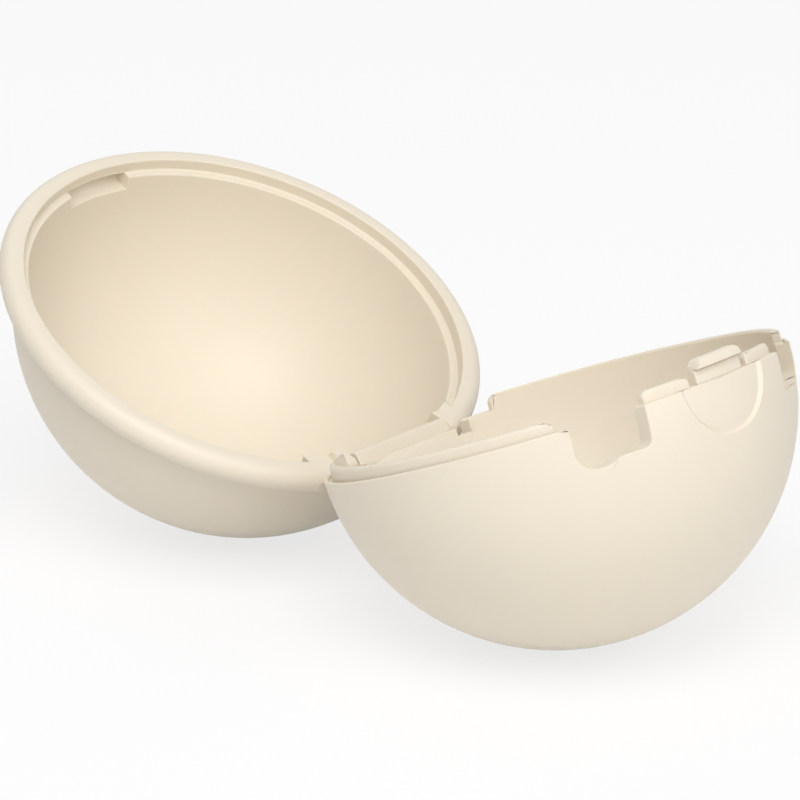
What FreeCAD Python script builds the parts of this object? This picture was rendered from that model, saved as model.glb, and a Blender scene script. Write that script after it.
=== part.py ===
import math
import os
import re

import FreeCAD, Part
import Sketcher

doc = FreeCAD.newDocument("pacifier_case")
sheet = doc.addObject("Spreadsheet::Sheet", "Sizes")

# Driving dimensions in millimetres and degrees.
# Each half is drawn about the middle of its rim: X towards the latch, Z up out of the base, hinge on the -X side.
driving = [
    ("ball_radius", 45, "outside of both half balls"),
    ("base_wall", 2.8, "wall of the base"),
    ("lid_wall", 2.5, "wall of the lid"),
    ("base_rim_drop", 0.5, "base rim below the centre of its ball"),
    ("lid_rim_drop", 1, "lid rim above the centre of its ball"),
    ("rim_edge", 0.3, "bevel on the rim's edges"),
    ("rim_corner", 0.6, "rounded rim beside a notch"),
    ("lip_thickness", 1.6, "lip that stands on the base rim"),
    ("lip_height", 2.2, "lip above the base rim"),
    ("lip_edge", 0.5, "bevel along the top of the lip"),
    ("lip_corner", 1.2, "rounded top corners where the lip ends"),
    ("seam_width", 0.5, "groove in the rim outside the lip"),
    ("seam_depth", 0.6, "depth of that groove"),
    ("seam_angle", 332, "its arc, open at the latch"),
    ("rim_clearance", 0.2, "between the lip and the lid's rebate"),
    ("bead_stand", 3.2, "bead beyond the ball"),
    ("bead_round", 2.65, "half the height of the lid's bead"),
    ("hinge_inset", 1, "hinge axis inside the ball's outline"),
    ("hinge_drop", 0.6, "hinge axis below the rim"),
    ("open_angle", 132, "lid swing from shut to its stop"),
    ("knuckle_radius", 2.05, "round bar on the base"),
    ("knuckle_half", 12.4, "half the length of the bar"),
    ("barrel_radius", 1.8, "eye at the end of a lid arm"),
    ("barrel_length", 2.2, "width of an arm and its eye"),
    ("side_gap", 0.3, "on each side of an arm"),
    ("arm_depth", 4.1, "inner face of an arm from the hinge axis"),
    ("arm_proud", 1.4, "arm beyond the lid's rim"),
    ("pin_radius", 0.9, "hinge pin"),
    ("pin_clearance", 0.05, "running clearance of the pin in an eye"),
    ("pin_short", 0.2, "pin's end inside the face of an eye"),
    ("slot_gap", 0.35, "below an eye in the base's slot"),
    ("slot_dip", 2.1, "fall of the slot's floor towards the inside"),
    ("ledge_drop", 1.1, "wall behind the bar below the rim"),
    ("pad_depth", 3.4, "flat pad on the wall from the hinge axis"),
    ("pad_slope", 1.3, "height of the pad's sloped top"),
    ("pad_foot", 11.6, "lower end of the pad below the rim"),
    ("pad_toe", 0.4, "thickness of the pad at that end"),
    ("lip_hinge_end", 20, "where the lip stops beside the hinge"),
    ("window_depth", 3, "height of the window in the lid wall"),
    ("notch_start", 18.3, "latch side of a strap notch"),
    ("notch_end", 30.4, "far side of a strap notch"),
    ("notch_shelf", 7.6, "depth of the notch's shallow part"),
    ("notch_dip", 1, "round part below that shelf"),
    ("notch_corner", 1.4, "corner under the latch side"),
    ("notch_round", 3.9, "radius of the round part"),
    ("notch_blend", 2, "soft step between both parts"),
    ("notch_step", 1, "lip set back from the notch"),
    ("tongue_half", 6.1, "half the width of the latch tongue"),
    ("tongue_height", 4.6, "tongue above the rim"),
    ("nose_foot", 2.65, "underside of its hook above the rim"),
    ("nose_slope", 0.15, "rise of that underside"),
    ("nose_reach", 1.1, "hook beyond the tongue"),
    ("nose_round", 1.1, "rounded lead-in of the hook"),
    ("nose_corner", 2, "rounded ends of the hook"),
    ("slit", 1.7, "slot between tongue and lip"),
    ("catch_clearance", 0.3, "round the hook in the lid"),
    ("catch_rise", 0.75, "above the tongue for its bending"),
    ("catch_bevel", 1.4, "sloped corner of the catch pocket"),
    ("thumb_radius", 10, "half circle of the thumb recess"),
    ("thumb_depth", 0.7, "depth of the thumb recess"),
    ("thumb_slope", 1.1, "sloped edge of the thumb recess"),
]

# Sizes that follow from the ones above.
derived = [
    ("hinge_reach", "ball_radius - hinge_inset"),
    ("base_rim", "sqrt(ball_radius ^ 2 - (base_rim_drop + rim_edge) ^ 2)"),
    ("base_inner", "ball_radius - base_wall"),
    ("base_bore", "sqrt(base_inner ^ 2 - base_rim_drop ^ 2)"),
    ("lip_outer", "base_bore + lip_thickness"),
    ("lip_over", "2 * lip_height"),
    ("bead_height", "2 * bead_round"),
    ("bead_radius", "ball_radius + bead_stand"),
    ("bead_core", "bead_radius - bead_round"),
    ("bead_foot", "sqrt(ball_radius ^ 2 - (bead_height + lid_rim_drop) ^ 2)"),
    ("rebate_radius", "lip_outer + rim_clearance"),
    ("rebate_depth", "lip_height + rim_clearance"),
    ("lid_inner", "ball_radius - lid_wall"),
    ("lid_bore", "sqrt(lid_inner ^ 2 - (rebate_depth + lid_rim_drop) ^ 2)"),
    ("land_half", "lip_hinge_end - 2 * rim_clearance"),
    ("land_outer", "rebate_radius + 2 * rim_edge"),
    ("land_bore_x", "sqrt(lid_bore ^ 2 - land_half ^ 2)"),
    ("land_outer_x", "sqrt(land_outer ^ 2 - land_half ^ 2)"),
    ("eye_start", "knuckle_half + side_gap"),
    ("eye_end", "eye_start + barrel_length"),
    ("slot_end", "eye_end + side_gap"),
    ("slot_floor", "hinge_drop + barrel_radius + slot_gap"),
    ("slot_outer_x", "sqrt(ball_radius ^ 2 - slot_end ^ 2)"),
    ("slot_inner_x", "sqrt(base_bore ^ 2 - slot_end ^ 2)"),
    ("notch_depth", "notch_shelf + notch_dip"),
    ("notch_sum", "notch_round + notch_blend"),
    ("notch_rise", "notch_sum - notch_dip"),
    ("notch_run", "sqrt(notch_sum ^ 2 - notch_rise ^ 2)"),
    ("notch_bend", "notch_end - notch_round - notch_run"),
    ("notch_join", "notch_bend + notch_run * notch_blend / notch_sum"),
    ("notch_join_depth", "notch_shelf + notch_blend - notch_rise * notch_blend / notch_sum"),
    ("lip_near", "notch_start - notch_step"),
    ("lip_far", "notch_end + notch_step"),
    ("latch_gap", "tongue_half + slit"),
    ("tongue_over", "tongue_height + nose_corner"),
    ("strip_angle", "3 * asin(tongue_half / base_bore) / 1 deg"),
    ("nose_outer", "lip_outer + nose_reach"),
    ("catch_outer", "nose_outer + catch_clearance"),
    ("catch_foot", "nose_foot - catch_clearance"),
    ("catch_top", "tongue_height + catch_rise"),
    ("thumb_floor", "ball_radius - thumb_depth"),
    ("thumb_edge_x", "sqrt(thumb_floor ^ 2 - thumb_radius ^ 2)"),
    ("thumb_flare", "(ball_radius - thumb_edge_x) * thumb_slope / thumb_depth"),
    ("shut_lid_up", "hinge_drop - lid_rim_drop"),
    ("open_lid_x", "hinge_reach * cos(open_angle * 1 deg) - shut_lid_up * sin(open_angle * 1 deg)"),
    ("open_lid_z", "hinge_reach * sin(open_angle * 1 deg) + shut_lid_up * cos(open_angle * 1 deg)"),
    ("base_up", "hinge_drop + base_rim_drop"),
    ("base_turn", "atan((open_lid_z - base_up) / (hinge_reach - open_lid_x)) / 1 deg"),
    ("lid_turn", "base_turn + open_angle"),
    ("base_cos", "cos(base_turn * 1 deg)"),
    ("base_sin", "sin(base_turn * 1 deg)"),
    ("lid_cos", "cos(lid_turn * 1 deg)"),
    ("lid_sin", "sin(lid_turn * 1 deg)"),
    ("right_end", "hinge_reach * base_cos - base_up * base_sin + ball_radius"),
    ("bead_mid_x", "hinge_reach * lid_cos - (hinge_drop + bead_round) * lid_sin"),
    ("left_end", "bead_mid_x + bead_core * lid_cos - bead_round"),
    ("axis_x", "-(left_end + right_end) / 2"),
    ("axis_z", "ball_radius - hinge_reach * base_sin - base_up * base_cos"),
    ("base_x", "axis_x + hinge_reach * base_cos - hinge_drop * base_sin"),
    ("base_z", "axis_z + hinge_reach * base_sin + hinge_drop * base_cos"),
    ("lid_x", "axis_x + hinge_reach * lid_cos - hinge_drop * lid_sin"),
    ("lid_z", "axis_z + hinge_reach * lid_sin + hinge_drop * lid_cos"),
]

for row, (alias, number, meaning) in enumerate(driving, 1):
    sheet.set("A%d" % row, alias)
    sheet.set("B%d" % row, str(number))
    sheet.set("C%d" % row, meaning)
    sheet.setAlias("B%d" % row, alias)
for row, (alias, formula) in enumerate(derived, len(driving) + 2):
    sheet.set("A%d" % row, alias)
    sheet.set("B%d" % row, "=" + formula)
    sheet.setAlias("B%d" % row, alias)
doc.recompute()

aliases = {line[0] for line in driving + derived}


def bound(text):
    return re.sub(r"[a-z]\w*", lambda m: "Sizes." + m[0] if m[0] in aliases else m[0], text)


def value(text):
    return float(sheet.evalExpression(bound(text)))


def new_sketch(body, role, name):
    sketch = body.newObject("Sketcher::SketchObject", name)
    plane = [item for item in body.Origin.OriginFeatures if item.Role == role][0]
    sketch.AttachmentSupport = [(plane, "")]
    sketch.MapMode = "FlatFace"
    return sketch


def fix(sketch, kind, expression, *where):
    index = sketch.addConstraint(Sketcher.Constraint(kind, *where, value(expression)))
    sketch.setExpression("Constraints[%d]" % index, bound(expression))


def arc_between(start, end, radius):
    # A positive radius turns to the left on the way from start to end.
    chord = end - start
    middle = (start + end) * 0.5
    height = math.sqrt(max(radius ** 2 - chord.Length ** 2 / 4, 0))
    left = FreeCAD.Vector(-chord.y, chord.x, 0).normalize()
    centre = middle + left * math.copysign(height, radius)
    first, last = (start, end) if radius > 0 else (end, start)
    angles = [math.atan2(point.y - centre.y, point.x - centre.x) for point in (first, last)]
    circle = Part.Circle(centre, FreeCAD.Vector(0, 0, 1), abs(radius))
    return Part.ArcOfCircle(circle, angles[0], angles[1])


def draw_outline(sketch, path):
    # The path is closed. A third entry is the radius of the arc that leads to that point.
    points = [FreeCAD.Vector(value(step[0]), value(step[1]), 0) for step in path]
    ends = []
    for number, step in enumerate(path):
        start, end = points[number - 1], points[number]
        if len(step) == 3:
            radius = value(step[2])
            item = sketch.addGeometry(arc_between(start, end, radius), False)
            fix(sketch, "Radius", step[2].lstrip("-"), item)
            ends.append((item, 1, 2) if radius > 0 else (item, 2, 1))
        else:
            item = sketch.addGeometry(Part.LineSegment(start, end), False)
            ends.append((item, 1, 2))
    for number, step in enumerate(path):
        item, first, last = ends[number]
        following = ends[(number + 1) % len(ends)]
        sketch.addConstraint(Sketcher.Constraint("Coincident", item, last, following[0], following[1]))
        fix(sketch, "DistanceX", step[0], -1, 1, item, last)
        fix(sketch, "DistanceY", step[1], -1, 1, item, last)


def draw_circle(sketch, x, y, radius):
    centre = FreeCAD.Vector(value(x), value(y), 0)
    item = sketch.addGeometry(Part.Circle(centre, FreeCAD.Vector(0, 0, 1), value(radius)), False)
    fix(sketch, "Radius", radius, item)
    fix(sketch, "DistanceX", x, -1, 1, item, 3)
    fix(sketch, "DistanceY", y, -1, 1, item, 3)


def outline(body, role, name, path):
    sketch = new_sketch(body, role, name)
    draw_outline(sketch, path)
    doc.recompute()
    return sketch


def circle(body, role, name, x, y, radius):
    sketch = new_sketch(body, role, name)
    draw_circle(sketch, x, y, radius)
    doc.recompute()
    return sketch


def moved(sketch, along):
    sketch.AttachmentOffset = FreeCAD.Placement(FreeCAD.Vector(0, 0, value(along)), FreeCAD.Rotation())
    sketch.setExpression("AttachmentOffset.Base.z", bound(along))
    doc.recompute()


def turned(body, kind, name, sketch, axis, angle="360", midplane=False, reverse=False):
    feature = body.newObject("PartDesign::" + kind, name)
    feature.Profile = sketch
    feature.ReferenceAxis = (sketch, [axis])
    feature.setExpression("Angle", bound(angle))
    feature.Midplane = midplane
    feature.Reversed = reverse
    doc.recompute()
    return feature


def straight(body, kind, name, sketch, length, symmetric=False, reverse=False):
    feature = body.newObject("PartDesign::" + kind, name)
    feature.Profile = sketch
    feature.setExpression("Length", bound(length))
    if symmetric:
        feature.SideType = "Symmetric"
    feature.Reversed = reverse
    doc.recompute()
    return feature


def mirrored(body, name, features):
    plane = [item for item in body.Origin.OriginFeatures if item.Role == "XZ_Plane"][0]
    feature = body.newObject("PartDesign::Mirrored", name)
    feature.Originals = features
    feature.MirrorPlane = (plane, [""])
    body.Tip = feature
    doc.recompute()
    return feature


def new_body(name, x, z, turn):
    body = doc.addObject("PartDesign::Body", name)
    body.Placement = FreeCAD.Placement(FreeCAD.Vector(), FreeCAD.Rotation(FreeCAD.Vector(0, -1, 0), value(turn)))
    body.setExpression("Placement.Base.x", bound(x))
    body.setExpression("Placement.Base.z", bound(z))
    body.setExpression("Placement.Rotation.Angle", bound(turn))
    doc.recompute()
    return body


# Base: a half ball with a lip round its rim and a narrow groove outside the lip.
base = new_body("base_shell", "base_x", "base_z", "base_turn")
bowl = outline(base, "XZ_Plane", "bowl_outline", [
    ("0", "base_rim_drop - ball_radius"),
    ("base_rim", "-rim_edge", "ball_radius"),
    ("base_rim - rim_edge", "0"),
    ("lip_outer", "0"),
    ("lip_outer", "lip_height - lip_edge"),
    ("lip_outer - lip_edge", "lip_height"),
    ("base_bore + lip_edge", "lip_height"),
    ("base_bore", "lip_height - lip_edge"),
    ("base_bore", "0"),
    ("0", "base_rim_drop - base_inner", "-base_inner"),
])
turned(base, "Revolution", "bowl", bowl, "V_Axis")
seam = outline(base, "XZ_Plane", "seam_outline", [
    ("-lip_outer - seam_width", "0"),
    ("-lip_outer - seam_width", "-seam_depth"),
    ("-lip_outer", "-seam_depth"),
    ("-lip_outer", "0"),
])
turned(base, "Groove", "seam", seam, "V_Axis", "seam_angle", midplane=True)

# A strap notch on each side of the latch: a shallow shelf that dips into a round bottom.
notch = outline(base, "YZ_Plane", "notch_outline", [
    ("lip_near - lip_corner", "lip_over"),
    ("lip_near - lip_corner", "lip_height"),
    ("lip_near", "lip_height - lip_corner", "-lip_corner"),
    ("lip_near", "0"),
    ("notch_start - rim_corner", "0"),
    ("notch_start", "-rim_corner", "-rim_corner"),
    ("notch_start", "notch_corner - notch_shelf"),
    ("notch_start + notch_corner", "-notch_shelf", "notch_corner"),
    ("notch_bend", "-notch_shelf"),
    ("notch_join", "-notch_join_depth", "-notch_blend"),
    ("notch_end", "notch_round - notch_depth", "notch_round"),
    ("notch_end", "-rim_corner"),
    ("notch_end + rim_corner", "0", "-rim_corner"),
    ("lip_far", "0"),
    ("lip_far", "lip_height - lip_corner"),
    ("lip_far + lip_corner", "lip_height", "-lip_corner"),
    ("lip_far + lip_corner", "lip_over"),
])
notch_cut = straight(base, "Pocket", "strap_notch", notch, "2 * ball_radius", reverse=True)
mirrored(base, "strap_notches", [notch_cut])

# The lip is left out where the latch tongue stands.
gap = outline(base, "YZ_Plane", "latch_gap_outline", [
    ("-latch_gap - lip_corner", "lip_over"),
    ("-latch_gap - lip_corner", "lip_height"),
    ("-latch_gap", "lip_height - lip_corner", "-lip_corner"),
    ("-latch_gap", "0"),
    ("latch_gap", "0"),
    ("latch_gap", "lip_height - lip_corner"),
    ("latch_gap + lip_corner", "lip_height", "-lip_corner"),
    ("latch_gap + lip_corner", "lip_over"),
])
straight(base, "Pocket", "latch_gap_cut", gap, "2 * ball_radius", reverse=True)

# At the hinge the lip stops short and the wall is lower behind the bar.
hinge_gap = outline(base, "YZ_Plane", "hinge_gap_outline", [
    ("-lip_hinge_end - lip_corner", "lip_over"),
    ("-lip_hinge_end - lip_corner", "lip_height"),
    ("-lip_hinge_end", "lip_height - lip_corner", "-lip_corner"),
    ("-lip_hinge_end", "0"),
    ("-slot_end - rim_corner", "0"),
    ("-slot_end", "-rim_corner", "-rim_corner"),
    ("-slot_end", "-ledge_drop"),
    ("slot_end", "-ledge_drop"),
    ("slot_end", "-rim_corner"),
    ("slot_end + rim_corner", "0", "-rim_corner"),
    ("lip_hinge_end", "0"),
    ("lip_hinge_end", "lip_height - lip_corner"),
    ("lip_hinge_end + lip_corner", "lip_height", "-lip_corner"),
    ("lip_hinge_end + lip_corner", "lip_over"),
])
straight(base, "Pocket", "hinge_gap_cut", hinge_gap, "2 * ball_radius")

# A flat pad with a sloped top thickens the wall inside the bar.
pad = outline(base, "XZ_Plane", "hinge_pad_outline", [
    ("-hinge_reach + knuckle_radius - pad_toe", "-ledge_drop"),
    ("-hinge_reach + knuckle_radius", "-ledge_drop"),
    ("-hinge_reach + pad_depth", "-ledge_drop - pad_slope"),
    ("-hinge_reach + pad_depth", "-pad_foot"),
    ("-hinge_reach + pad_depth - pad_toe", "-pad_foot"),
])
straight(base, "Pad", "hinge_pad", pad, "2 * knuckle_half", symmetric=True)

# The round bar of the hinge, with a slot beside each end for an arm of the lid.
bar = circle(base, "XZ_Plane", "knuckle_outline", "-hinge_reach", "-hinge_drop", "knuckle_radius")
straight(base, "Pad", "knuckle", bar, "2 * knuckle_half", symmetric=True)
bore = circle(base, "XZ_Plane", "pin_bore_outline", "-hinge_reach", "-hinge_drop", "pin_radius")
straight(base, "Pocket", "pin_bore", bore, "2 * eye_end", symmetric=True)
slot = outline(base, "XZ_Plane", "arm_slot_outline", [
    ("-bead_radius", "lip_over"),
    ("-bead_radius", "-slot_floor"),
    ("-slot_outer_x", "-slot_floor"),
    ("-slot_inner_x", "-slot_floor - slot_dip"),
    ("-slot_inner_x + base_wall", "-slot_floor - slot_dip"),
    ("-slot_inner_x + base_wall", "lip_over"),
])
moved(slot, "-knuckle_half")
slot_cut = straight(base, "Pocket", "arm_slot", slot, "slot_end - knuckle_half")
mirrored(base, "arm_slots", [slot_cut])

# The thumb recess is a half circle sunk evenly into the ball under the latch.
thumb = outline(base, "XY_Plane", "thumb_outline", [
    ("thumb_floor", "0"),
    ("thumb_edge_x", "thumb_radius", "thumb_floor"),
    ("ball_radius", "thumb_radius + thumb_flare"),
    ("ball_radius", "0"),
])
turned(base, "Groove", "thumb_recess", thumb, "H_Axis", "180", reverse=True)

# Lid: a half ball with a round bead outside its rim and a rebate inside for the lip.
lid = new_body("lid_shell", "lid_x", "lid_z", "lid_turn")
dome = outline(lid, "XZ_Plane", "dome_outline", [
    ("0", "ball_radius - lid_rim_drop"),
    ("bead_foot", "bead_height", "-ball_radius"),
    ("bead_core", "bead_height"),
    ("bead_radius", "bead_round", "-bead_round"),
    ("bead_core", "0", "-bead_round"),
    ("rebate_radius + rim_edge", "0"),
    ("rebate_radius", "rim_edge"),
    ("rebate_radius", "rebate_depth"),
    ("lid_bore", "rebate_depth"),
    ("0", "lid_inner - lid_rim_drop", "lid_inner"),
])
turned(lid, "Revolution", "dome", dome, "V_Axis")

# At the hinge the rebate is filled, the bead is cut flat and the wall is opened for the bar.
land = outline(lid, "XY_Plane", "hinge_land_outline", [
    ("-land_bore_x", "land_half"),
    ("-land_bore_x", "-land_half", "lid_bore"),
    ("-land_outer_x", "-land_half"),
    ("-land_outer_x", "land_half", "-land_outer"),
])
straight(lid, "Pad", "hinge_land", land, "rebate_depth + rim_edge")
flat = outline(lid, "XZ_Plane", "bead_flat_outline", [
    ("-bead_radius - rim_edge", "-rim_edge"),
    ("-hinge_reach", "-rim_edge"),
    ("-hinge_reach", "bead_height + rim_edge"),
    ("-bead_radius - rim_edge", "bead_height + rim_edge"),
])
straight(lid, "Pocket", "bead_flat", flat, "ball_radius", symmetric=True)
window = outline(lid, "YZ_Plane", "window_outline", [
    ("-eye_start", "-rim_edge"),
    ("eye_start", "-rim_edge"),
    ("eye_start", "window_depth"),
    ("-eye_start", "window_depth"),
])
straight(lid, "Pocket", "hinge_window", window, "2 * ball_radius")

# Two arms stand on the rim and carry the eyes for the pin.
arm = outline(lid, "XZ_Plane", "arm_outline", [
    ("-hinge_reach + arm_depth", "window_depth"),
    ("-hinge_reach", "window_depth"),
    ("-hinge_reach", "-hinge_drop - barrel_radius"),
    ("-hinge_reach + arm_depth", "-arm_proud"),
])
moved(arm, "-eye_end")
arm_pad = straight(lid, "Pad", "arm", arm, "barrel_length")
eye = circle(lid, "XZ_Plane", "eye_outline", "-hinge_reach", "-hinge_drop", "barrel_radius")
moved(eye, "-eye_end")
eye_pad = straight(lid, "Pad", "eye", eye, "barrel_length")
mirrored(lid, "arms", [arm_pad, eye_pad])
eye_bore = circle(lid, "XZ_Plane", "eye_bore_outline", "-hinge_reach", "-hinge_drop", "pin_radius + pin_clearance")
straight(lid, "Pocket", "eye_bore", eye_bore, "2 * slot_end", symmetric=True)

# The catch pocket for the hook, undercut behind the inner edge of the bead.
catch = outline(lid, "XZ_Plane", "catch_outline", [
    ("lid_bore - lid_wall", "catch_foot"),
    ("catch_outer", "catch_foot"),
    ("catch_outer", "catch_top - catch_bevel"),
    ("catch_outer - catch_bevel", "catch_top"),
    ("lid_bore - lid_wall", "catch_top"),
])
straight(lid, "Pocket", "catch_pocket", catch, "2 * latch_gap", symmetric=True)

# Latch tongue: a strip of the lip's ring with a rounded hook.
tongue = new_body("latch_tongue", "base_x", "base_z", "base_turn")
strip = outline(tongue, "XZ_Plane", "tongue_outline", [
    ("base_bore", "0"),
    ("lip_outer", "0"),
    ("lip_outer", "nose_foot"),
    ("nose_outer", "nose_foot + nose_slope"),
    ("nose_outer", "tongue_height - nose_round"),
    ("nose_outer - nose_round", "tongue_height", "nose_round"),
    ("base_bore + lip_edge", "tongue_height"),
    ("base_bore", "tongue_height - lip_edge"),
])
turned(tongue, "Revolution", "strip", strip, "V_Axis", "strip_angle", midplane=True)
side = outline(tongue, "YZ_Plane", "tongue_side_outline", [
    ("tongue_half", "-rim_edge"),
    ("tongue_half", "tongue_height - nose_corner"),
    ("tongue_half - nose_corner", "tongue_height", "nose_corner"),
    ("tongue_half - nose_corner", "tongue_over"),
    ("2 * tongue_half", "tongue_over"),
    ("2 * tongue_half", "-rim_edge"),
])
side_cut = straight(tongue, "Pocket", "tongue_side", side, "2 * ball_radius", reverse=True)
mirrored(tongue, "tongue_sides", [side_cut])

# Hinge pin, pressed into the bar and running in both eyes.
pin = new_body("hinge_pin", "base_x", "base_z", "base_turn")
pin_round = circle(pin, "XZ_Plane", "pin_outline", "-hinge_reach", "-hinge_drop", "pin_radius")
straight(pin, "Pad", "pin", pin_round, "2 * (eye_end - pin_short)", symmetric=True)

doc.recompute()
for item in doc.Objects:
    if "Invalid" in item.State or "Error" in item.State:
        raise RuntimeError("%s: %s" % (item.Label, item.State))
os.makedirs("parts", exist_ok=True)
for body in (base, lid, tongue, pin):
    if body.Shape.isNull() or not body.Shape.isValid():
        raise RuntimeError("%s has no valid shape" % body.Label)
    body.Shape.exportStep("parts/%s.step" % body.Label)
    box = body.Shape.BoundBox
    spans = [box.XMin, box.XMax, box.YMin, box.YMax, box.ZMin, box.ZMax]
    print(body.Label, len(body.Shape.Solids), "solid", round(body.Shape.Volume), [round(span, 2) for span in spans])
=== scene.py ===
from math import asin, cos, degrees, pi, radians, sin, sqrt

import bpy
from mathutils import Matrix, Vector


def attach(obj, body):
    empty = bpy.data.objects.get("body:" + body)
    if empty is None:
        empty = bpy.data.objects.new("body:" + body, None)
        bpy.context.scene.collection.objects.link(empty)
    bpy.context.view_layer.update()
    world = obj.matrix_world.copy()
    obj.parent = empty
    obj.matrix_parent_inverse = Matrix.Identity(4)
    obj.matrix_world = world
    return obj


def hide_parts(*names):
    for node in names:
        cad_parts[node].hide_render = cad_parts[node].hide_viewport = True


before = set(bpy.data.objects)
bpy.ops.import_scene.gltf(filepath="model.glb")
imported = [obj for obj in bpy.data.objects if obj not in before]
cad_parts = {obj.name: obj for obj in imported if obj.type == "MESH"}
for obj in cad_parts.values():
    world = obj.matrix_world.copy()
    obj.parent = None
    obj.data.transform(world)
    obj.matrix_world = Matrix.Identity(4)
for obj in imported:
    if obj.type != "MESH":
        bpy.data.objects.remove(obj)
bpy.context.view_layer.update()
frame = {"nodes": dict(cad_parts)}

mm = 0.001
scene = bpy.context.scene
scene.view_settings.view_transform = 'Standard'
bpy.ops.object.select_all(action='DESELECT')
print("frame loaded:", ", ".join(frame["nodes"]))

# where each half stands: turn about -Y and the middle of its rim
halves = {
    "base": {"turn": 23.54083, "x": 40.40356, "z": 44.54161},
    "lid": {"turn": 155.54083, "x": -39.99297, "z": 44.09400},
}
hinge = {"reach": 44.0, "drop": 0.6, "lipRise": 0.026}
hair = 0.01  # keeps cut faces off faces that they would lie in
weld = 0.002  # points nearer than this are one
cutIn, cutOut = 15, 60  # cutters along X run from inside the bowl to outside the ball
finish = {"sharp": 40, "segments": 3, "weld": 0.005, "smooth": 31.2, "weight": 90}


def bend(x, z, radius, start, end, steps):  # points along an arc, angles in degrees
    angles = [radians(start + (end - start) * i / steps) for i in range(steps + 1)]
    return [(x + radius * cos(a), z + radius * sin(a)) for a in angles]


def selectOnly(piece):
    bpy.ops.object.select_all(action='DESELECT')
    piece.select_set(True)
    bpy.context.view_layer.objects.active = piece


def ringOutline(name, points, filled):  # a circle primitive pulled into the outline
    bpy.ops.object.select_all(action='DESELECT')
    fill = 'NGON' if filled else 'NOTHING'
    bpy.ops.mesh.primitive_circle_add(vertices=len(points), radius=mm, fill_type=fill)
    piece = bpy.context.object
    piece.name = name
    for vertex, point in zip(piece.data.vertices, points):
        vertex.co = Vector(point) * mm
    return piece


def closeNormals(piece):
    bpy.ops.mesh.select_all(action='SELECT')
    bpy.ops.mesh.remove_doubles(threshold=weld * mm)
    bpy.ops.mesh.select_all(action='SELECT')
    bpy.ops.mesh.normals_make_consistent(inside=False)
    bpy.ops.object.mode_set(mode='OBJECT')


def spunShell(name, profile, steps, axis='Z'):  # an open profile from axis to axis, spun all round
    points = [(r, 0, z) if axis == 'Z' else (z, r, 0) for r, z in profile]
    piece = ringOutline(name, points, False)
    last = len(points) - 1
    bpy.ops.object.mode_set(mode='EDIT')
    bpy.ops.mesh.select_mode(type='VERT')
    bpy.ops.mesh.select_all(action='DESELECT')
    bpy.ops.object.mode_set(mode='OBJECT')
    piece.data.vertices[0].select = True
    piece.data.vertices[last].select = True
    bpy.ops.object.mode_set(mode='EDIT')
    bpy.ops.mesh.select_mode(type='EDGE')
    bpy.ops.mesh.delete(type='EDGE_FACE')  # the edge along the axis
    bpy.ops.mesh.select_mode(type='VERT')
    bpy.ops.mesh.select_all(action='SELECT')
    line = (0, 0, 1) if axis == 'Z' else (1, 0, 0)
    bpy.ops.mesh.spin(steps=steps, angle=2 * pi, center=(0, 0, 0), axis=line)
    closeNormals(piece)
    return piece


def spunStrip(name, profile, start, sweep, steps):  # a closed section spun part of the way, ends filled
    points = [(r * cos(radians(start)), r * sin(radians(start)), z) for r, z in profile]
    piece = ringOutline(name, points, False)
    bpy.ops.object.mode_set(mode='EDIT')
    bpy.ops.mesh.select_mode(type='VERT')
    bpy.ops.mesh.select_all(action='SELECT')
    bpy.ops.mesh.spin(steps=steps, angle=radians(sweep), center=(0, 0, 0), axis=(0, 0, -1))
    bpy.ops.mesh.select_all(action='SELECT')
    bpy.ops.mesh.remove_doubles(threshold=weld * mm)
    bpy.ops.mesh.fill_holes(sides=0)
    closeNormals(piece)
    return piece


def prism(name, outline, plane, start, end):  # an outline in YZ, XZ or XY pushed along the third axis
    place = {
        'YZ': lambda a, b: (start, a, b),
        'XZ': lambda a, b: (a, start, b),
        'XY': lambda a, b: (a, b, start),
    }[plane]
    along = {'YZ': (1, 0, 0), 'XZ': (0, 1, 0), 'XY': (0, 0, 1)}[plane]
    piece = ringOutline(name, [place(a, b) for a, b in outline], True)
    bpy.ops.object.mode_set(mode='EDIT')
    bpy.ops.mesh.select_all(action='SELECT')
    push = Vector(along) * (end - start) * mm
    bpy.ops.mesh.extrude_region_move(TRANSFORM_OT_translate={"value": push})
    closeNormals(piece)
    return piece


def combine(piece, tools, operation):  # the tools are used up
    for tool in tools:
        selectOnly(piece)
        step = piece.modifiers.new(operation.lower(), 'BOOLEAN')
        step.operation = operation
        step.solver = 'EXACT'
        step.object = tool
        bpy.ops.object.modifier_apply(modifier=step.name)
        bpy.data.objects.remove(tool)


def mirrorCopy(tool):  # the same tool on the other side of the plane across the hinge
    selectOnly(tool)
    bpy.ops.object.duplicate()
    copy = bpy.context.object
    bpy.ops.object.mode_set(mode='EDIT')
    bpy.ops.mesh.select_all(action='SELECT')
    bpy.ops.transform.resize(value=(1, -1, 1), center_override=(0, 0, 0))
    closeNormals(copy)
    return copy


def markOutward(piece, angle, spared):  # bevel weight on sharp edges that stand out, none on inner corners
    mesh = piece.data
    sides = {}
    for face in mesh.polygons:
        for key in face.edge_keys:
            sides.setdefault(key, []).append(face)
    weight = mesh.attributes.new("bevel_weight_edge", 'FLOAT', 'EDGE')
    for edge in mesh.edges:
        faces = sides.get(edge.key, [])
        middle = (mesh.vertices[edge.key[0]].co + mesh.vertices[edge.key[1]].co) / 2
        if len(faces) != 2 or spared(middle / mm):
            continue
        if faces[0].normal.angle(faces[1].normal, 0) > angle:
            outward = (faces[1].center - faces[0].center).dot(faces[0].normal) < 0
            weight.data[edge.index].value = 1 if outward else 0


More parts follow.
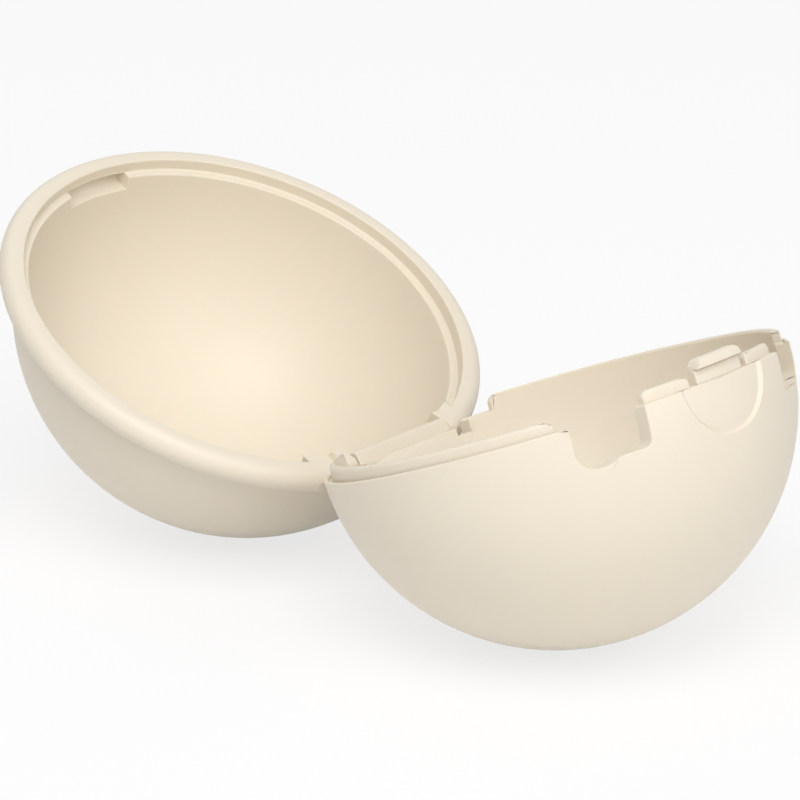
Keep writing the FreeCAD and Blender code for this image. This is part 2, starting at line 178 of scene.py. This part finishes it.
def roundEdges(piece, width, spared=lambda spot: False):  # only the edges that stand out
    selectOnly(piece)
    bpy.ops.object.mode_set(mode='EDIT')
    bpy.ops.mesh.select_all(action='SELECT')
    bpy.ops.mesh.remove_doubles(threshold=finish["weld"] * mm)
    bpy.ops.mesh.delete_loose()
    bpy.ops.object.mode_set(mode='OBJECT')
    markOutward(piece, radians(finish["sharp"]), spared)
    edge = piece.modifiers.new("edges", 'BEVEL')
    edge.limit_method = 'WEIGHT'
    edge.width = width * mm
    edge.segments = finish["segments"]
    edge.use_clamp_overlap = False
    bpy.ops.object.modifier_apply(modifier=edge.name)


def smoothFaces(piece):  # smooth what is nearly flat
    selectOnly(piece)
    bpy.ops.object.shade_smooth_by_angle(angle=radians(finish["smooth"]))
    even = piece.modifiers.new("even", 'WEIGHTED_NORMAL')
    even.keep_sharp = True
    even.weight = finish["weight"]
    bpy.ops.object.modifier_apply(modifier=even.name)


def riseToHinge(piece, low, high, whole, none, rise):  # lifts a band, more and more towards the hinge
    for vertex in piece.data.vertices:
        share = (none - vertex.co.xy.length / mm) / (none - whole)
        if low * mm < vertex.co.z < high * mm and vertex.co.x < 0:
            vertex.co.z -= rise * vertex.co.x * min(1, max(0, share))


def thinToHinge(piece, bore, outer, low, amount):  # draws the lip's outside in towards the hinge
    for vertex in piece.data.vertices:
        spot = vertex.co / mm
        radius = spot.xy.length
        if bore < radius < outer + hair and spot.z > low - hair and spot.x < 0:
            pull = amount * (radius - bore) / (outer - bore) * -spot.x / radius
            vertex.co.xy = spot.xy * (1 - pull / radius) * mm


def closeSeam(piece, inner, outer, depth, half):  # lifts the seam's floor to the rim between the notches
    for vertex in piece.data.vertices:
        spot = vertex.co / mm
        onFloor = inner - hair < spot.xy.length < outer + hair and -2 * depth < spot.z < -hair
        if onFloor and spot.x > 0 and abs(spot.y) < half:
            vertex.co.z = 0
    selectOnly(piece)
    bpy.ops.object.mode_set(mode='EDIT')
    closeNormals(piece)


def stand(piece, half):  # from its own rim to its place in the open case
    place = Matrix.Translation(Vector((half["x"], 0, half["z"])) * mm)
    turn = Matrix.Rotation(-radians(half["turn"]), 4, 'Y')
    piece.matrix_world = place @ turn
    selectOnly(piece)
    bpy.ops.object.transform_apply(location=True, rotation=True, scale=True)


# Materials

creamLook = {
    "light": (0.808, 0.735, 0.61, 1), "deep": (0.783, 0.705, 0.578, 1),
    "cloudScale": 28, "cloudDetail": 4,
    "gloss": (0.40, 0.50), "grainScale": 2600, "grainDetail": 3, "grainStrength": 0.25, "grainDepth": 0.00001,
    "shine": 0.4, "glowShare": 0.12, "glowRadius": (1.0, 0.7, 0.45), "glowScale": 0.0012,
}
steelLook = {
    "dark": (0.50, 0.50, 0.51, 1), "light": (0.68, 0.68, 0.69, 1), "gloss": (0.24, 0.42),
    "stretch": (1, 0.04, 1), "markScale": 9000, "markDetail": 2,
}


def creamPlastic():
    look = creamLook
    material = bpy.data.materials.new("creamPlastic")
    material.use_nodes = True
    nodes, links = material.node_tree.nodes, material.node_tree.links
    shader = nodes["Principled BSDF"]
    where = nodes.new('ShaderNodeTexCoord')
    cloud = nodes.new('ShaderNodeTexNoise')  # faint flow marks of the moulding
    cloud.inputs["Scale"].default_value = look["cloudScale"]
    cloud.inputs["Detail"].default_value = look["cloudDetail"]
    links.new(where.outputs["Object"], cloud.inputs["Vector"])
    tint = nodes.new('ShaderNodeMix')
    tint.data_type = 'RGBA'
    tint.inputs["A"].default_value = look["deep"]
    tint.inputs["B"].default_value = look["light"]
    links.new(cloud.outputs["Fac"], tint.inputs["Factor"])
    links.new(tint.outputs["Result"], shader.inputs["Base Color"])
    grain = nodes.new('ShaderNodeTexNoise')  # the mould's fine matte texture
    grain.inputs["Scale"].default_value = look["grainScale"]
    grain.inputs["Detail"].default_value = look["grainDetail"]
    links.new(where.outputs["Object"], grain.inputs["Vector"])
    gloss = nodes.new('ShaderNodeMapRange')
    gloss.inputs["To Min"].default_value = look["gloss"][0]
    gloss.inputs["To Max"].default_value = look["gloss"][1]
    links.new(grain.outputs["Fac"], gloss.inputs["Value"])
    links.new(gloss.outputs["Result"], shader.inputs["Roughness"])
    bump = nodes.new('ShaderNodeBump')
    bump.inputs["Strength"].default_value = look["grainStrength"]
    bump.inputs["Distance"].default_value = look["grainDepth"]
    links.new(grain.outputs["Fac"], bump.inputs["Height"])
    links.new(bump.outputs["Normal"], shader.inputs["Normal"])
    shader.inputs["Specular IOR Level"].default_value = look["shine"]
    shader.inputs["Subsurface Weight"].default_value = look["glowShare"]
    shader.inputs["Subsurface Radius"].default_value = look["glowRadius"]
    shader.inputs["Subsurface Scale"].default_value = look["glowScale"]
    return material


def drawnSteel():
    look = steelLook
    material = bpy.data.materials.new("drawnSteel")
    material.use_nodes = True
    nodes, links = material.node_tree.nodes, material.node_tree.links
    shader = nodes["Principled BSDF"]
    where = nodes.new('ShaderNodeTexCoord')
    along = nodes.new('ShaderNodeMapping')  # draw marks run along the pin
    along.inputs["Scale"].default_value = look["stretch"]
    links.new(where.outputs["Object"], along.inputs["Vector"])
    marks = nodes.new('ShaderNodeTexNoise')
    marks.inputs["Scale"].default_value = look["markScale"]
    marks.inputs["Detail"].default_value = look["markDetail"]
    links.new(along.outputs["Vector"], marks.inputs["Vector"])
    tone = nodes.new('ShaderNodeMix')
    tone.data_type = 'RGBA'
    tone.inputs["A"].default_value = look["dark"]
    tone.inputs["B"].default_value = look["light"]
    links.new(marks.outputs["Fac"], tone.inputs["Factor"])
    links.new(tone.outputs["Result"], shader.inputs["Base Color"])
    rough = nodes.new('ShaderNodeMapRange')
    rough.inputs["To Min"].default_value = look["gloss"][0]
    rough.inputs["To Max"].default_value = look["gloss"][1]
    links.new(marks.outputs["Fac"], rough.inputs["Value"])
    links.new(rough.outputs["Result"], shader.inputs["Roughness"])
    shader.inputs["Metallic"].default_value = 1
    return material


cream = creamPlastic()
steel = drawnSteel()
print("materials: cream plastic, drawn steel")

# Base shell

baseSizes = {
    "ball": 45.0, "wall": 2.8, "drop": 0.5, "rimRound": 0.45, "steps": 160,
    "lipThickness": 1.6, "lipHeight": 2.2, "lipRound": 0.65, "lipCorner": 1.2, "rimCorner": 0.6,
    "seamWidth": 0.32, "seamDepth": 0.45, "lipThinning": 0.7, "seamStop": 20.5, "riseFrom": 0.3,
    "hingeCorner": 2.0,
    "notchStart": 18.3, "notchEnd": 30.4, "shelf": 7.6, "dip": 1.0,
    "shelfCorner": 1.4, "notchRound": 3.9, "notchBlend": 2.0, "lipStep": 1.0,
    "latchGap": 7.8, "lipHingeEnd": 20.0, "slotEnd": 15.2, "slotFloor": 2.75, "slotRise": 0.3,
    "ledgeDrop": 1.1, "padDepth": 3.4, "padSlope": 1.3, "padRun": 1.5, "padKnee": 6.4,
    "padFoot": 13.4, "padSink": 0.04, "padOver": 0.2,
    "barRadius": 2.05, "barHalf": 12.4, "bore": 0.9, "ridgeRound": 0.8, "ridgeLean": 0.3,
    "barOver": 0.5, "barSink": 0.6, "slotOver": 4, "slotTop": 5,
    "thumbRadius": 10.0, "thumbDepth": 0.75, "thumbSlope": 1.05, "thumbOver": 1.5, "thumbSteps": 8,
    "thumbTurns": 72, "thumbSpare": 2,
    "edge": 0.24,
}


def notchOutline(s):
    over = 2 * s["lipHeight"]
    near, far = s["notchStart"] - s["lipStep"], s["notchEnd"] + s["lipStep"]
    c, h, k, r = s["lipCorner"], s["lipHeight"], s["rimCorner"], s["notchRound"]
    depth = s["shelf"] + s["dip"]
    reach = r + s["notchBlend"]
    rise = reach - s["dip"]
    run = sqrt(reach ** 2 - rise ** 2)
    lean = degrees(asin(run / reach))
    dipY = s["notchEnd"] - r
    path = [(near - c, over)]
    path += bend(near - c, h - c, c, 90, 0, 6)
    path += [(near, 0)]
    path += bend(s["notchStart"] - k, -k, k, 90, 0, 4)
    corner = s["shelfCorner"]
    path += bend(s["notchStart"] + corner, corner - s["shelf"], corner, 180, 270, 6)
    path += bend(dipY - run, -s["shelf"] - s["notchBlend"], s["notchBlend"], 90, 90 - lean, 5)
    path += bend(dipY, r - depth, r, 270 - lean, 360, 16)
    path += bend(s["notchEnd"] + k, -k, k, 180, 90, 4)
    path += [(far, 0)]
    path += bend(far + c, h - c, c, 180, 90, 6)
    path += [(far + c, over)]
    return path


def lipGapOutline(half, c, h, foot):  # the lip is left out over this width, with rounded top corners
    over = 2 * h
    path = [(-half - c, over)]
    path += bend(-half - c, h - c, c, 90, 0, 6)
    path += foot
    path += bend(half + c, h - c, c, 180, 90, 6)
    path += [(half + c, over)]
    return path


def makeBaseShell(s):
    ball, inner, drop = s["ball"], s["ball"] - s["wall"], s["drop"]
    bore = sqrt(inner ** 2 - drop ** 2)
    lipOut, h, e = bore + s["lipThickness"], s["lipHeight"], s["lipRound"]
    k = s["rimRound"]
    rimAngle = -degrees(asin((drop + k) / ball))
    rim = sqrt(ball ** 2 - (drop + k) ** 2)
    profile = bend(0, drop, ball, -90, rimAngle, 44)
    profile += bend(rim - k, -k, k, 15, 90, 5)
    w, d = s["seamWidth"], s["seamDepth"]
    profile += [(lipOut + w, 0), (lipOut + w, -d), (lipOut, -d)]
    profile += bend(lipOut - e, h - e, e, 0, 90, 6)
    profile += bend(bore + e, h - e, e, 90, 180, 6)
    profile += [(bore, 0)]
    innerAngle = -degrees(asin(drop / inner))
    profile += bend(0, drop, inner, innerAngle - 1.5, -90, 44)
    profile[0] = (0, profile[0][1])
    profile[-1] = (0, profile[-1][1])
    shell = spunShell("baseShell", profile, s["steps"])
    riseToHinge(shell, s["riseFrom"], 2 * h, bore, lipOut, hinge["lipRise"])
    thinToHinge(shell, bore, lipOut, -d, s["lipThinning"])
    closeSeam(shell, lipOut, lipOut + w, d, s["seamStop"])

    floorBall = ball - s["thumbDepth"]
    tip = degrees(asin(s["thumbRadius"] / floorBall))
    out = ball + s["thumbOver"]
    edgeX = sqrt(floorBall ** 2 - s["thumbRadius"] ** 2)
    flare = s["thumbRadius"] + (out - edgeX) * s["thumbSlope"] / s["thumbDepth"]
    tilts = [radians(tip * i / s["thumbSteps"]) for i in range(s["thumbSteps"] + 1)]
    thumb = [(floorBall * sin(a), floorBall * cos(a)) for a in tilts]
    thumb[0] = (0, floorBall)
    thumb += [(flare, out), (0, out)]
    combine(shell, [spunShell("thumbTool", thumb, s["thumbTurns"], 'X')], 'DIFFERENCE')

    notch = prism("notchTool", notchOutline(s), 'YZ', cutIn, cutOut)
    notchFar = mirrorCopy(notch)
    latchGap = [(-s["latchGap"], 0), (s["latchGap"], 0)]
    gapLine = lipGapOutline(s["latchGap"], s["lipCorner"], h, latchGap)
    gap = prism("latchGapTool", gapLine, 'YZ', cutIn, cutOut)
    k = s["rimCorner"]
    ledge = [(-s["lipHingeEnd"], 0)] + bend(-s["slotEnd"] - k, -k, k, 90, 0, 4)
    ledge += [(-s["slotEnd"], -s["ledgeDrop"]), (s["slotEnd"], -s["ledgeDrop"])]
    ledge += bend(s["slotEnd"] + k, -k, k, 180, 90, 4) + [(s["lipHingeEnd"], 0)]
    lift = hinge["lipRise"] * sqrt(lipOut ** 2 - s["lipHingeEnd"] ** 2)
    hingeLine = lipGapOutline(s["lipHingeEnd"], s["hingeCorner"], h + lift, ledge)
    hingeGap = prism("hingeGapTool", hingeLine, 'YZ', -cutOut, -cutIn)
    combine(shell, [notch, notchFar, gap, hingeGap], 'DIFFERENCE')

    reach, axis = hinge["reach"], -hinge["drop"]
    long = s["barHalf"] + s["barOver"]
    padTop, padFace = -s["ledgeDrop"] - hair, -reach + s["padDepth"]
    padBack = -reach + s["barRadius"]
    backBall = inner + s["padSink"]  # the pad's back stays within the wall
    topAngle, footAngle = (180 + degrees(asin((drop + z) / backBall)) for z in (-padTop, s["padFoot"]))
    pad = [(padBack, padTop), (padFace, padTop - s["padSlope"]), (padFace + s["padRun"], -s["padKnee"])]
    pad += [(s["padSink"] - inner * cos(asin((drop + s["padFoot"]) / inner)), -s["padFoot"])]
    pad += bend(0, drop, backBall, footAngle, topAngle, 16)
    padTool = prism("padTool", pad, 'XZ', -s["slotEnd"] - s["padOver"], s["slotEnd"] + s["padOver"])
    top, ridge = axis + s["barRadius"], s["ridgeRound"]
    bar = bend(-reach, axis, s["barRadius"], 90, 270, 24)
    barFoot, barFace = padTop - s["barSink"], padBack - 2 * hair
    bar += [(-reach, barFoot), (barFace, barFoot), (barFace, axis)]
    bar += bend(padBack - s["ridgeLean"] - ridge, top - ridge, ridge, 0, 82, 5)
    combine(shell, [padTool, prism("barTool", bar, 'XZ', -long, long)], 'UNION')
    outerX = sqrt(ball ** 2 - s["slotEnd"] ** 2)
    floor, slotIn = -s["slotFloor"], padFace + 2 * s["padRun"]
    slotOut, slotTop = -ball - s["slotOver"], s["slotTop"]
    slot = [(slotOut, slotTop), (slotOut, floor), (-outerX, floor)]
    slot += [(slotIn, floor + s["slotRise"]), (slotIn, slotTop)]
    slotTool = prism("slotTool", slot, 'XZ', s["barHalf"], s["slotEnd"] + hair)
    slotFar = mirrorCopy(slotTool)
    boreTool = prism("boreTool", bend(-reach, axis, s["bore"], 0, 345, 23), 'XZ', -long, long)
    combine(shell, [slotTool, slotFar, boreTool], 'DIFFERENCE')

    thumbHalf = s["notchStart"] - s["thumbSpare"]  # the thumb recess keeps its own edge
    roundEdges(shell, s["edge"], lambda spot: spot.x > 0 and spot.z < -2 * k and abs(spot.y) < thumbHalf)
    smoothFaces(shell)
    stand(shell, halves["base"])
    shell.data.materials.append(cream)
    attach(shell, "base")
    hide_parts("base_shell")
    print("base shell:", len(shell.data.polygons), "faces")
    return shell


# Lid shell

lidSizes = {
    "ball": 45.0, "wall": 2.5, "drop": 1.0, "beadStand": 3.2, "beadRound": 2.65, "steps": 160,
    "rebateRadius": 43.997, "rebateDepth": 2.4, "rimRound": 0.35, "ledgeRound": 0.45, "ledgeFillet": 0.25,
    "landHalf": 19.6, "landOver": 0.6, "landSink": 0.3, "flatHalf": 22.5, "flatOver": 0.3, "flatOut": 6,
    "cutBelow": 1, "windowHalf": 12.75, "windowDepth": 3.0,
    "armStart": 12.7, "armWidth": 2.2, "armDepth": 4.1, "armProud": 1.4, "eye": 1.8, "eyeBore": 0.95,
    "armChamfer": 0.4, "armToe": 0.1, "boreOver": 1, "pocketIn": 3,
    "catchHalf": 7.8, "catchFoot": 2.35, "catchTop": 5.35, "catchOuter": 45.197, "catchBevel": 1.4,
    "edge": 0.24,
}


def makeLidShell(s):
    ball, inner, drop = s["ball"], s["ball"] - s["wall"], s["drop"]
    tall, r = 2 * s["beadRound"], s["beadRound"]
    core = ball + s["beadStand"] - r
    footAngle = degrees(asin((tall + drop) / ball))
    bore = sqrt(inner ** 2 - (s["rebateDepth"] + drop) ** 2)
    k, f, b = s["rimRound"], s["ledgeFillet"], s["ledgeRound"]
    innerAngle = degrees(asin((s["rebateDepth"] + b + drop) / inner))
    profile = bend(0, -drop, ball, 90, footAngle, 42)
    profile += bend(core, r, r, 90, -90, 20)
    profile += bend(s["rebateRadius"] + k, k, k, 270, 180, 5)
    profile += bend(s["rebateRadius"] - f, s["rebateDepth"] - f, f, 0, 90, 5)
    profile += bend(bore + b, s["rebateDepth"] + b, b, 270, 185, 5)
    profile += bend(0, -drop, inner, innerAngle + 2.5, 90, 42)
    profile[0] = (0, profile[0][1])
    profile[-1] = (0, profile[-1][1])
    shell = spunShell("lidShell", profile, s["steps"])
    low, high = s["rebateDepth"] - 2 * f, s["rebateDepth"] + 1.5 * b
    riseToHinge(shell, low, high, s["rebateRadius"] + f, s["rebateRadius"] + 2 * f, hinge["lipRise"])

    half = s["landHalf"]
    landOut = s["rebateRadius"] + s["landOver"]
    inside = degrees(asin(half / bore))
    outside = degrees(asin(half / landOut))
    land = bend(0, 0, bore - hair, 180 - inside, 180 + inside, 24)
    land += bend(0, 0, landOut, 180 + outside, 180 - outside, 24)
    landTop = s["rebateDepth"] + s["landSink"] + hinge["lipRise"] * landOut
    landTool = prism("landTool", land, 'XY', hair, landTop)
    combine(shell, [landTool], 'UNION')
    reach, axis = hinge["reach"], -hinge["drop"]
    flatOut, flatTop, below = -ball - s["flatOut"], tall + s["flatOver"], -s["cutBelow"]
    flat = [(flatOut, below), (-reach, below), (-reach, flatTop), (flatOut, flatTop)]
    flatTool = prism("flatTool", flat, 'XZ', -s["flatHalf"], s["flatHalf"])
    w = s["windowHalf"]
    window = [(-w, below), (w, below), (w, s["windowDepth"]), (-w, s["windowDepth"])]
    windowTool = prism("windowTool", window, 'YZ', -cutOut, -cutIn)
    combine(shell, [flatTool, windowTool], 'DIFFERENCE')

    start, end = s["armStart"], s["armStart"] + s["armWidth"]
    arm = [(-reach + s["armDepth"], s["windowDepth"] + hair), (-reach - hair, s["windowDepth"] + hair)]
    arm += bend(-reach, axis, s["eye"], 90, 270, 20)
    arm += [(-reach + s["armDepth"] - s["armChamfer"], -s["armProud"] - s["armToe"])]
    arm += [(-reach + s["armDepth"], -s["armProud"] + s["armChamfer"])]
    armTool = prism("armTool", arm, 'XZ', start, end)
    armFar = mirrorCopy(armTool)
    combine(shell, [armTool, armFar], 'UNION')
    past = end + s["boreOver"]
    boreTool = prism("eyeBoreTool", bend(-reach, axis, s["eyeBore"], 0, 345, 23), 'XZ', -past, past)
    pocketIn, pocketOut, bevel = bore - s["pocketIn"], s["catchOuter"], s["catchBevel"]
    pocket = [(pocketIn, s["catchFoot"]), (pocketOut, s["catchFoot"]), (pocketOut, s["catchTop"] - bevel)]
    pocket += [(pocketOut - bevel, s["catchTop"]), (pocketIn, s["catchTop"])]
    pocketTool = prism("pocketTool", pocket, 'XZ', -s["catchHalf"], s["catchHalf"])
    combine(shell, [boreTool, pocketTool], 'DIFFERENCE')

    roundEdges(shell, s["edge"])
    smoothFaces(shell)
    stand(shell, halves["lid"])
    shell.data.materials.append(cream)
    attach(shell, "lid")
    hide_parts("lid_shell")
    print("lid shell:", len(shell.data.polygons), "faces")
    return shell


# Latch tongue

tongueSizes = {
    "bore": 42.197, "outer": 43.797, "half": 6.1, "height": 4.6, "sweep": 25, "steps": 40,
    "foot": 2.65, "slope": 0.15, "throatTall": 0.4, "throatDeep": 0.5,
    "reach": 1.1, "round": 1.1, "corner": 2.0, "topRound": 0.6, "edge": 0.12,
}


def makeLatchTongue(s):
    nose, top = s["outer"] + s["reach"], s["height"]
    section = [(s["bore"], hair), (s["outer"], hair), (s["outer"], s["foot"] - s["throatTall"])]
    section += [(s["outer"] - s["throatDeep"], s["foot"] + s["slope"]), (nose, s["foot"])]
    section += bend(nose - s["round"], top - s["round"], s["round"], 0, 90, 8)
    section += bend(s["bore"] + s["topRound"], top - s["topRound"], s["topRound"], 90, 180, 5)
    tongue = spunStrip("latchTongue", section, -s["sweep"] / 2, s["sweep"], s["steps"])
    c, w = s["corner"], s["half"]
    side = [(2 * w, -c), (w, -c)] + bend(w - c, top - c, c, 0, 90, 8) + [(w - c, top + c), (2 * w, top + c)]
    sideTool = prism("tongueSideTool", side, 'YZ', cutIn, cutOut)
    combine(tongue, [sideTool, mirrorCopy(sideTool)], 'DIFFERENCE')
    roundEdges(tongue, s["edge"], lambda spot: spot.z < s["edge"])  # the foot stays square
    smoothFaces(tongue)
    stand(tongue, halves["base"])
    tongue.data.materials.append(cream)
    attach(tongue, "latch")
    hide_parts("latch_tongue")
    print("latch tongue:", len(tongue.data.polygons), "faces")
    return tongue


# Hinge pin

pinSizes = {
    "radius": 0.9, "half": 14.7, "chamfer": 0.22, "sides": 32, "sharp": 60, "segments": 2, "smooth": 35,
}


def makeHingePin(s):
    last = s["sides"] - 1
    ring = bend(-hinge["reach"], -hinge["drop"], s["radius"], 0, 360 * last / s["sides"], last)
    pin = prism("hingePin", ring, 'XZ', -s["half"], s["half"])
    selectOnly(pin)
    edge = pin.modifiers.new("ends", 'BEVEL')
    edge.limit_method = 'ANGLE'
    edge.angle_limit = radians(s["sharp"])
    edge.width = s["chamfer"] * mm
    edge.segments = s["segments"]
    bpy.ops.object.modifier_apply(modifier=edge.name)
    bpy.ops.object.shade_smooth_by_angle(angle=radians(s["smooth"]))
    stand(pin, halves["base"])
    pin.data.materials.append(steel)
    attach(pin, "base")
    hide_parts("hinge_pin")
    print("hinge pin:", len(pin.data.polygons), "faces")
    return pin


makeBaseShell(baseSizes)
makeLidShell(lidSizes)
makeLatchTongue(tongueSizes)
makeHingePin(pinSizes)

# Floor, light and camera

studio = {
    "floorTone": (0.9, 0.9, 0.9, 1), "floorGlow": 0.75, "floorSize": 8, "floorRough": 0.9, "skyLight": 0.41,
    "keyPlace": (0.6, -0.7, 1.4), "keySize": 1.0, "keyPower": 16.4,
    "sidePlace": (1.5, -0.2, 0.8), "sideSize": 1.0, "sidePower": 6.3,
    "backPlace": (-1.2, 0.6, 1.0), "backSize": 1.0, "backPower": 2.8,
    "camera": (0.8947, -0.9533, 0.5463), "aim": (0.0027, -0.0020, 0.0370), "lens": 333.98, "sensor": 36,
    "lampAim": (0, 0, 0.03),
}


def whiteRays(nodes, links):  # 1 for camera, glossy and transmission rays
    path = nodes.new('ShaderNodeLightPath')
    glossy = nodes.new('ShaderNodeMath')
    glossy.operation = 'MAXIMUM'
    links.new(path.outputs["Is Camera Ray"], glossy.inputs[0])
    links.new(path.outputs["Is Glossy Ray"], glossy.inputs[1])
    through = nodes.new('ShaderNodeMath')
    through.operation = 'MAXIMUM'
    links.new(glossy.outputs[0], through.inputs[0])
    links.new(path.outputs["Is Transmission Ray"], through.inputs[1])
    return through


def makeFloor(s):
    bpy.ops.object.select_all(action='DESELECT')
    bpy.ops.mesh.primitive_plane_add(size=s["floorSize"])
    floor = bpy.context.object
    floor.name = "paleFloor"
    material = bpy.data.materials.new("palePaper")
    material.use_nodes = True
    nodes, links = material.node_tree.nodes, material.node_tree.links
    paper = nodes["Principled BSDF"]
    paper.inputs["Base Color"].default_value = s["floorTone"]
    paper.inputs["Roughness"].default_value = s["floorRough"]
    paper.inputs["Specular IOR Level"].default_value = 0
    glow = nodes.new('ShaderNodeEmission')
    share = nodes.new('ShaderNodeMath')
    share.operation = 'MULTIPLY'
    share.inputs[1].default_value = s["floorGlow"]
    links.new(whiteRays(nodes, links).outputs[0], share.inputs[0])
    mix = nodes.new('ShaderNodeMixShader')
    links.new(share.outputs[0], mix.inputs["Fac"])
    links.new(paper.outputs[0], mix.inputs[1])
    links.new(glow.outputs[0], mix.inputs[2])
    links.new(mix.outputs[0], nodes["Material Output"].inputs["Surface"])
    floor.data.materials.append(material)


def makeSky(s):
    world = bpy.data.worlds.new("softRoom")
    scene.world = world
    world.use_nodes = True
    nodes, links = world.node_tree.nodes, world.node_tree.links
    room = nodes["Background"]
    room.inputs["Color"].default_value = (1, 1, 1, 1)
    room.inputs["Strength"].default_value = s["skyLight"]
    white = nodes.new('ShaderNodeBackground')
    mix = nodes.new('ShaderNodeMixShader')
    links.new(whiteRays(nodes, links).outputs[0], mix.inputs["Fac"])
    links.new(room.outputs[0], mix.inputs[1])
    links.new(white.outputs[0], mix.inputs[2])
    links.new(mix.outputs[0], nodes["World Output"].inputs["Surface"])


def addLamp(name, place, size, power):
    bpy.ops.object.light_add(type='AREA', location=place)
    lamp = bpy.context.object
    lamp.name = name
    lamp.data.size = size
    lamp.data.energy = power
    aim = Vector(studio["lampAim"]) - lamp.location
    lamp.rotation_euler = aim.to_track_quat('-Z', 'Y').to_euler()


def addCamera(s):
    bpy.ops.object.camera_add(location=s["camera"])
    camera = bpy.context.object
    camera.name = "photoCamera"
    aim = Vector(s["aim"]) - camera.location
    camera.rotation_euler = aim.to_track_quat('-Z', 'Y').to_euler()
    camera.data.sensor_width = s["sensor"]
    camera.data.lens = s["lens"]
    scene.camera = camera


makeFloor(studio)
makeSky(studio)
addLamp("keyLamp", studio["keyPlace"], studio["keySize"], studio["keyPower"])
addLamp("sideLamp", studio["sidePlace"], studio["sideSize"], studio["sidePower"])
addLamp("backLamp", studio["backPlace"], studio["backSize"], studio["backPower"])
addCamera(studio)
print("floor, light and camera placed")
